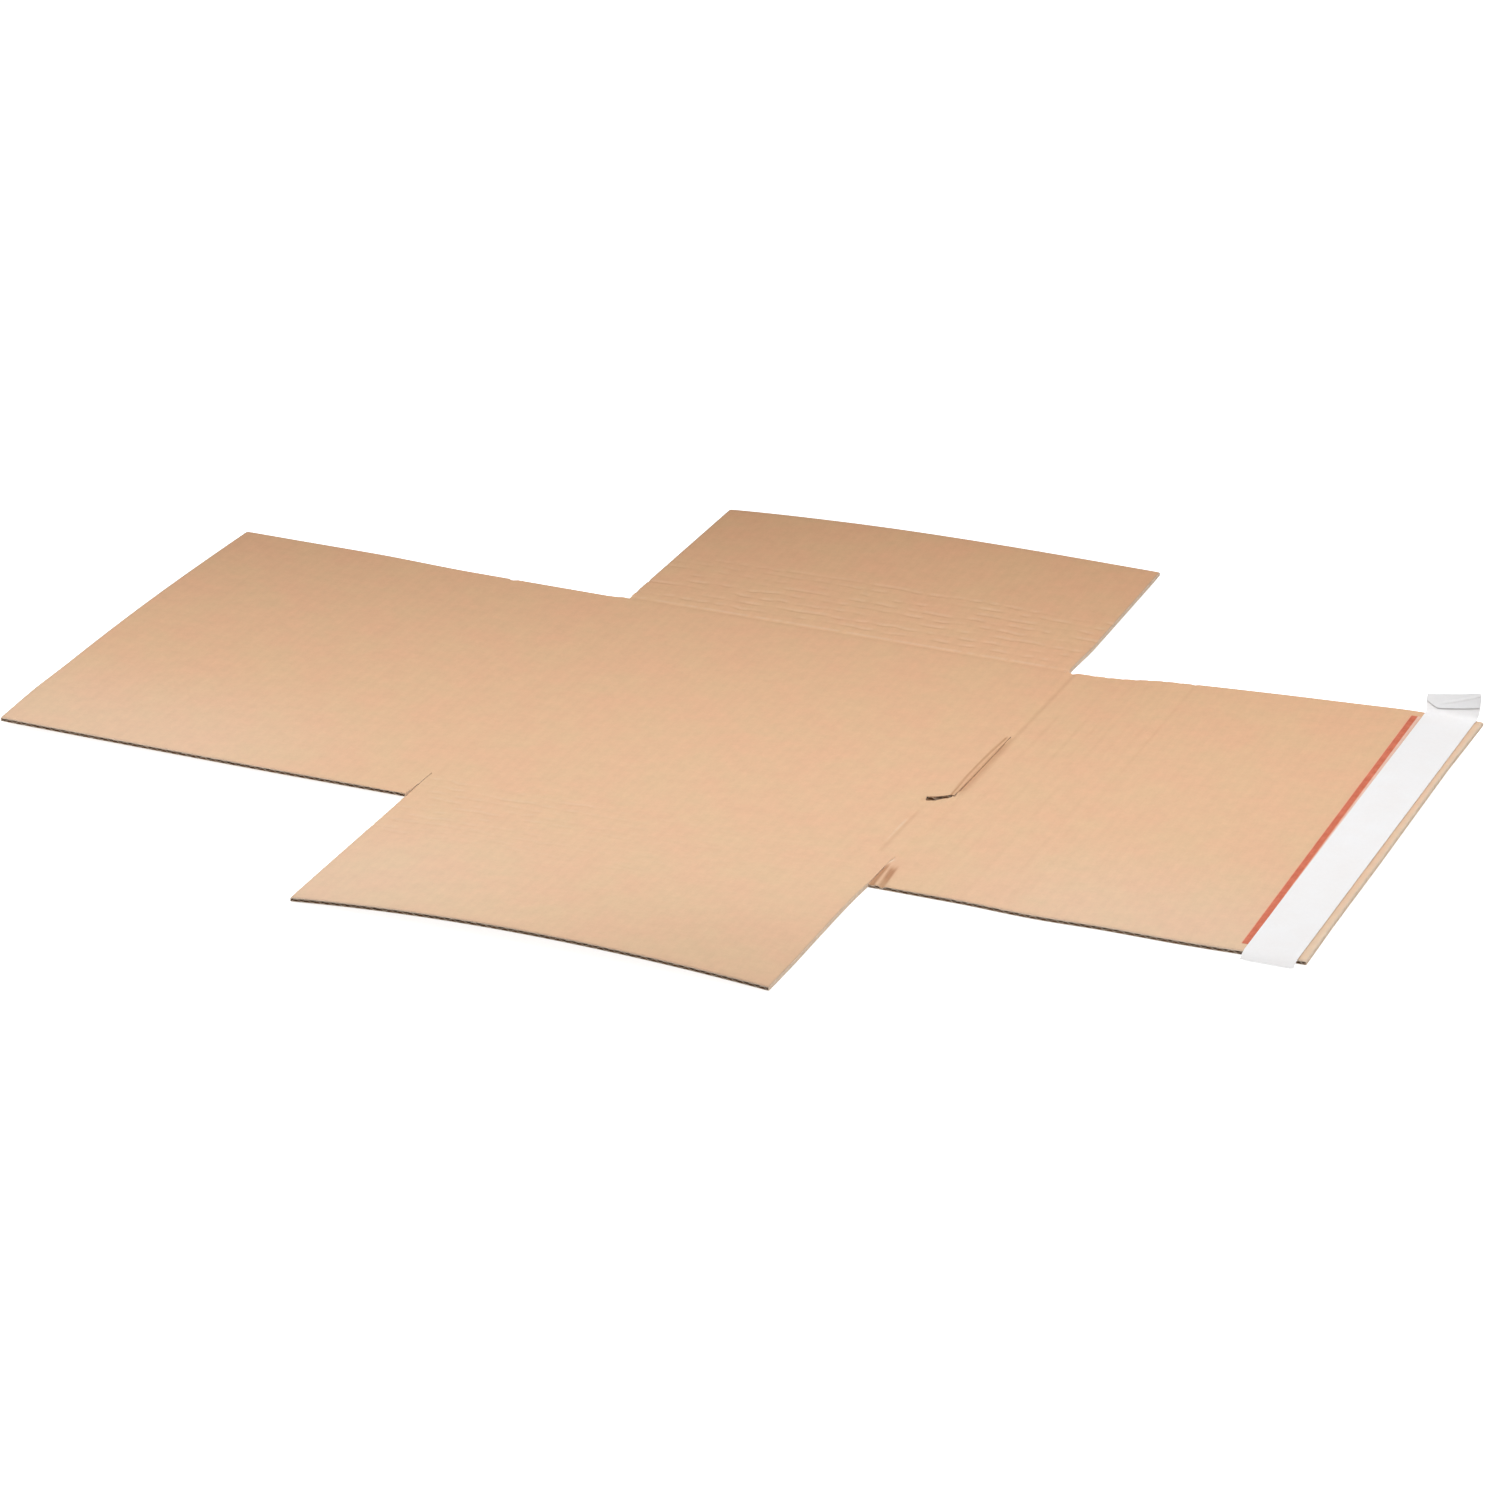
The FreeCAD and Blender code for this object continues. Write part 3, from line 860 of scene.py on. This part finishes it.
left = board(
    "left_board",
    (lines(left_x, 6, SIDE_FINE + edge_spans(LEFT_TIP, -HALF_WIDTH) + [(-228, -218, 1)]),
     lines(left_y, 6, ENDS + [(-HALF_DEPTH, FRONT_CREASE, 2.5)])),
    (lines(left_x, 9, SIDE_FINE + edge_spans(LEFT_TIP, -HALF_WIDTH) + [(-228, -218, 1)]),
     lines(left_y, 9, ENDS + [(-HALF_DEPTH, FRONT_CREASE, 4)])),
    (lines(left_x, FLUTE_STEP), lines(left_y, 20, ENDS + [(-HALF_DEPTH, FRONT_CREASE, 5)])),
    left_keep, left_under, creases, panel_end, left_side, left_shift, left_painted_light, BOARD_LOOK)
right_x = [SEAM_X[1], HALF_WIDTH, HALF_WIDTH + CUT, RIGHT_TIP]
right_y = [-HALF_DEPTH, *SEAM_Y, FRONT_CREASE, *SLIT_Y, HALF_DEPTH]
right = board(
    "right_board",
    (lines(right_x, 6, SIDE_FINE + [(*RIGHT_SCORED, 0.9)] + edge_spans(RIGHT_TIP, HALF_WIDTH + CUT)),
     lines(right_y, 6, ENDS + [NEAR_SIDE])),
    (lines(right_x, 8, SIDE_FINE + edge_spans(RIGHT_TIP, HALF_WIDTH + CUT)),
     lines(right_y, 8, ENDS + [NEAR_SIDE])),
    (lines(right_x, FLUTE_STEP), lines(right_y, 18, ENDS + [(-HALF_DEPTH, -130, 3)])),
    right_keep, right_under, right_pressed, panel_end, right_side, right_shift, right_painted_light_and_tone,
    BOARD_LOOK)
flap_x = [-FLAP_HALF, *SEAM_X, FLAP_HALF]
flap_grid_x = lines(flap_x, 2.0, edge_spans(-FLAP_HALF, FLAP_HALF))
flap_under_x = lines(flap_x, 9, edge_spans(-FLAP_HALF, FLAP_HALF))
back_y = [SEAM_Y[1], HALF_DEPTH, BACK_TIP]
back = board(
    "back_board",
    (flap_grid_x,
     lines(back_y, 7, END_FINE + [(HALF_DEPTH, BACK_SCORED, 0.9)] + edge_spans(BACK_TIP))),
    (flap_under_x, lines(back_y, 8, END_FINE + edge_spans(BACK_TIP))),
    (lines(flap_x, FLUTE_STEP),
     lines(back_y, 18, END_FINE + [(HALF_DEPTH, BACK_SCORED, 3)] + edge_spans(BACK_TIP))),
    flap_keep, back_under, back_pressed, flap_end, flap_side, back_shift, back_painted_light, BOARD_LOOK)
front_y = [FRONT_TIP, FRONT_CREASE, SEAM_Y[0]]
front = board(
    "front_board",
    (flap_grid_x,
     lines(front_y, 7, END_FINE + [(FRONT_SCORED, FRONT_CREASE, 0.9)] + edge_spans(FRONT_TIP))),
    (flap_under_x, lines(front_y, 8, END_FINE + edge_spans(FRONT_TIP))),
    (lines(flap_x, FLUTE_STEP),
     lines(front_y, 18, END_FINE + [(FRONT_SCORED, FRONT_CREASE, 3)] + edge_spans(FRONT_TIP))),
    flap_keep, front_under, front_pressed, flap_end, flap_side, front_shift, front_painted_light,
    BOARD_LOOK)

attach(middle, "base")
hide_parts("middle_panel")
for piece, node, body, crease, outward in (
        (left, "left_panel", "left", -HALF_WIDTH, (-1, 0)),
        (right, "right_panel", "right", HALF_WIDTH, (1, 0)),
        (back, "back_flap", "back", HALF_DEPTH, (0, 1)),
        (front, "front_flap", "front", FRONT_CREASE, (0, -1))):
    place = abs(crease)
    start = tuple(side * (place - BLEND) * MM for side in outward)
    end = tuple(side * (place + BLEND) * MM for side in outward)
    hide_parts(node)
    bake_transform(piece)


# Self-seal strip and tear band

LINER_LEFT = 365.7
LINER_RIGHT = 396.7
NEAR_END = -169.3


def right_top(x, y):
    inside = np.clip(y, -HALF_DEPTH + 2.5, HALF_DEPTH - 2.5)
    return right_under(x, y) + BOARD - right_pressed(x, inside)


def drift(y, far_end, near_end):
    """How far a strip, stuck on a little aslant, lies to the right of its straight place."""
    return far_end + (near_end - far_end) * (HALF_DEPTH - y) / (2 * HALF_DEPTH)


def liner_drift(y):
    return drift(y, 1.6, -0.2)


def strip(name, spans, near_end, far_end, gap, thickness, aslant, materials):
    """Flat strips side by side on the right panel, one for each span, in one piece."""
    build = Build()
    for look, (left_edge, right_edge) in enumerate(spans):
        x, y = np.meshgrid(np.linspace(left_edge, right_edge, 5),
                           np.linspace(near_end, far_end, 90), indexing="ij")
        height = right_top(x, y) + gap + thickness / 2
        build.sheet(np.stack([x + aslant(y), y, height], -1), thickness, look)
        gap -= 0.02
    return build.finish(name, materials)


def release_liner():
    """The paper strip, bent up at the far edge, with its end folded over towards the front."""
    across = np.linspace(0, 1, 33)
    strip_y = np.linspace(NEAR_END, HALF_DEPTH - 5.0, 130)
    step = 0.2
    height = 15.4 + 4.2 * across - 0.5 * np.sin(math.pi * across)
    lean = np.radians(45 + 16.5 * across)
    folded = 0.4 + np.interp(across * 31, [0, 1.2, 7.4, 31], [4.4, 4.8, 8.9, 8.6])
    share = np.linspace(0, 1, 150)[1:]
    x_all = LINER_LEFT + (LINER_RIGHT - LINER_LEFT) * across
    grid = np.zeros((len(across), len(strip_y) + len(share), 3))
    light_and_tone_values = np.zeros((len(across), len(strip_y) + len(share), 2))
    for column, x in enumerate(x_all):
        base = right_top(np.full_like(strip_y, x), strip_y) + 0.45
        near = np.clip(-HALF_DEPTH - strip_y, 0, None)
        base -= 0.09 * near ** 1.6
        grid[column, :len(strip_y)] = np.stack([x + liner_drift(strip_y), strip_y, base], -1)
        length = height[column] + folded[column]
        count = math.ceil(length / step)
        walk = np.linspace(0, length, count + 1)
        angle = lean[column] * ramp(walk, 0, 7)
        angle = angle + math.radians(179) * ramp(walk, height[column] - 0.4, height[column] + 0.6)
        spacing = length / count
        middle_angle = (angle[1:] + angle[:-1]) / 2
        y = strip_y[-1] + np.concatenate([[0], np.cumsum(np.cos(middle_angle))]) * spacing
        z = base[-1] + np.concatenate([[0], np.cumsum(np.sin(middle_angle))]) * spacing
        # A slight diagonal wrinkle runs over the folded layer.
        past = np.clip(walk - height[column], 0, None)
        wrinkle = valley(past - 2.0 - 6.0 * (1 - across[column]), 1.4) * ramp(past, 0.8, 2.0)
        y = y - 0.3 * wrinkle * ramp(across[column], 0.25, 0.45)
        want = share * length
        # The tab leans a little to the left. Painted shade greys its folded layer, and painted light
        # pales the part that is bent up and folded.
        raised = ramp(want, 2, height[column])
        aside = liner_drift(strip_y[-1]) - 1.6 * (1 - across[column]) * raised
        swing = 1.3 * np.sin(math.pi * np.clip(want / height[column], 0, 1))
        swing = swing + 0.12 * np.clip(want - height[column], 0, None)
        aside = aside + across[column] * (swing - 0.3 * raised)
        grid[column, len(strip_y):] = np.stack([x + aside, np.interp(want, walk, y),
                                                np.interp(want, walk, z)], -1)
        light_and_tone_values[column, len(strip_y):, 0] = ramp(want, height[column] - 0.3, height[column] + 0.3)
        light_and_tone_values[column, len(strip_y):, 1] = ramp(want, 0, 6)
    build = Build()
    build.sheet(grid, 0.16, 0, light_and_tone_values.reshape(-1, 2))
    return build.finish("release_strip", [liner_paper()])


seal = strip("adhesive_layer", [(LINER_LEFT + 3, LINER_RIGHT - 3)], -159.5, 159.5, 0.05, 0.15,
             liner_drift, [adhesive_film()])
band = strip("tear_tape", [(359.5, 363.3), (363.3, 365.1), (359.0, 359.5)], -155, 153.5, 0.05, 0.14,
             lambda y: drift(y, 1.3, 2.3),
             [tear_film("tear_film", (0.72, 0.20, 0.115), (0.60, 0.135, 0.07)),
              tear_film("film_margin", (0.84, 0.56, 0.45), (0.80, 0.51, 0.40)),
              tear_film("film_edge", (0.84, 0.42, 0.28), (0.80, 0.38, 0.25))])
liner = release_liner()
for piece, node, slot in ((seal, "adhesive_strip", "adhesive"), (band, "tear_band", "tear_film"),
                          (liner, "release_liner", "liner_paper")):
    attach(piece, "right")
    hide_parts(node)


# Stage, light and camera

def floor_material():
    """White floor that keeps the object's shadow and is a little lit for the camera's rays."""
    material = bpy.data.materials.new("floor_white")
    material.use_nodes = True
    tree = material.node_tree
    shader = tree.nodes["Principled BSDF"]
    shader.inputs["Base Color"].default_value = (0.8, 0.8, 0.8, 1)
    shader.inputs["Roughness"].default_value = 1.0
    shader.inputs["Specular IOR Level"].default_value = 0.0
    shader.inputs["Emission Color"].default_value = (1, 1, 1, 1)
    path = tree.nodes.new("ShaderNodeLightPath")
    seen = tree.nodes.new("ShaderNodeMath")
    seen.operation = "MAXIMUM"
    tree.links.new(path.outputs["Is Camera Ray"], seen.inputs[0])
    tree.links.new(path.outputs["Is Glossy Ray"], seen.inputs[1])
    strength = tree.nodes.new("ShaderNodeMath")
    strength.operation = "MULTIPLY"
    strength.inputs[1].default_value = 0.9
    tree.links.new(seen.outputs["Value"], strength.inputs[0])
    tree.links.new(strength.outputs["Value"], shader.inputs["Emission Strength"])
    return material


def world_light(level):
    world = bpy.data.worlds.new("studio")
    bpy.context.scene.world = world
    world.use_nodes = True
    tree = world.node_tree
    background = tree.nodes["Background"]
    path = tree.nodes.new("ShaderNodeLightPath")
    strength = tree.nodes.new("ShaderNodeMix")
    strength.data_type = "FLOAT"
    strength.inputs[2].default_value = level
    strength.inputs[3].default_value = 1.0
    background.inputs["Color"].default_value = (1, 1, 1, 1)
    tree.links.new(path.outputs["Is Camera Ray"], strength.inputs[0])
    tree.links.new(strength.outputs[0], background.inputs["Strength"])


def area_light(name, place, target, width, depth, watts):
    data = bpy.data.lights.new(name, "AREA")
    data.shape = "RECTANGLE"
    data.size = width
    data.size_y = depth
    data.energy = watts
    light = bpy.data.objects.new(name, data)
    light.location = place
    light.rotation_euler = (Vector(target) - Vector(place)).to_track_quat("-Z", "Y").to_euler()
    light.visible_camera = False
    bpy.context.scene.collection.objects.link(light)


floor_mesh = bpy.data.meshes.new("floor")
floor_mesh.from_pydata([(-30, -30, 0), (30, -30, 0), (30, 30, 0), (-30, 30, 0)], [],
                       [(0, 1, 2, 3)])
floor_mesh.materials.append(floor_material())
floor = bpy.data.objects.new("floor", floor_mesh)
bpy.context.scene.collection.objects.link(floor)

world_light(0.23)
area_light("softbox", (-0.12, -0.06, 0.72), (-0.004, -0.4, 0), 2.0, 0.3, 8.2)
area_light("key", (1.8, -0.6, 1.1), (0, 0, 0), 0.7, 0.7, 8.0)

YAW = math.radians(22.622)
PITCH = math.radians(24.041)
ROLL = math.radians(0.435)
DISTANCE = 3.917
FOCAL_PIXELS = 6687.2
FRAME_PIXELS = 1500
SENSOR = 36
TARGET = Vector((0.01209, -0.02206, 0.003))

forward = Vector((-math.sin(YAW) * math.cos(PITCH), math.cos(YAW) * math.cos(PITCH),
                  -math.sin(PITCH)))
level_right = Vector((math.cos(YAW), math.sin(YAW), 0))
level_up = level_right.cross(forward)
right_axis = level_right * math.cos(ROLL) + level_up * math.sin(ROLL)
up_axis = level_up * math.cos(ROLL) - level_right * math.sin(ROLL)
camera_data = bpy.data.cameras.new("camera")
camera_data.sensor_width = SENSOR
camera_data.lens = FOCAL_PIXELS / FRAME_PIXELS * SENSOR
camera_data.clip_start = 0.1
camera_data.clip_end = 200
camera = bpy.data.objects.new("camera", camera_data)
camera.matrix_world = Matrix((
    (right_axis.x, up_axis.x, -forward.x, TARGET.x - forward.x * DISTANCE),
    (right_axis.y, up_axis.y, -forward.y, TARGET.y - forward.y * DISTANCE),
    (right_axis.z, up_axis.z, -forward.z, TARGET.z - forward.z * DISTANCE),
    (0, 0, 0, 1)))
bpy.context.scene.collection.objects.link(camera)
bpy.context.scene.camera = camera
bpy.context.scene.view_settings.view_transform = "Standard"

bpy.context.view_layer.update()
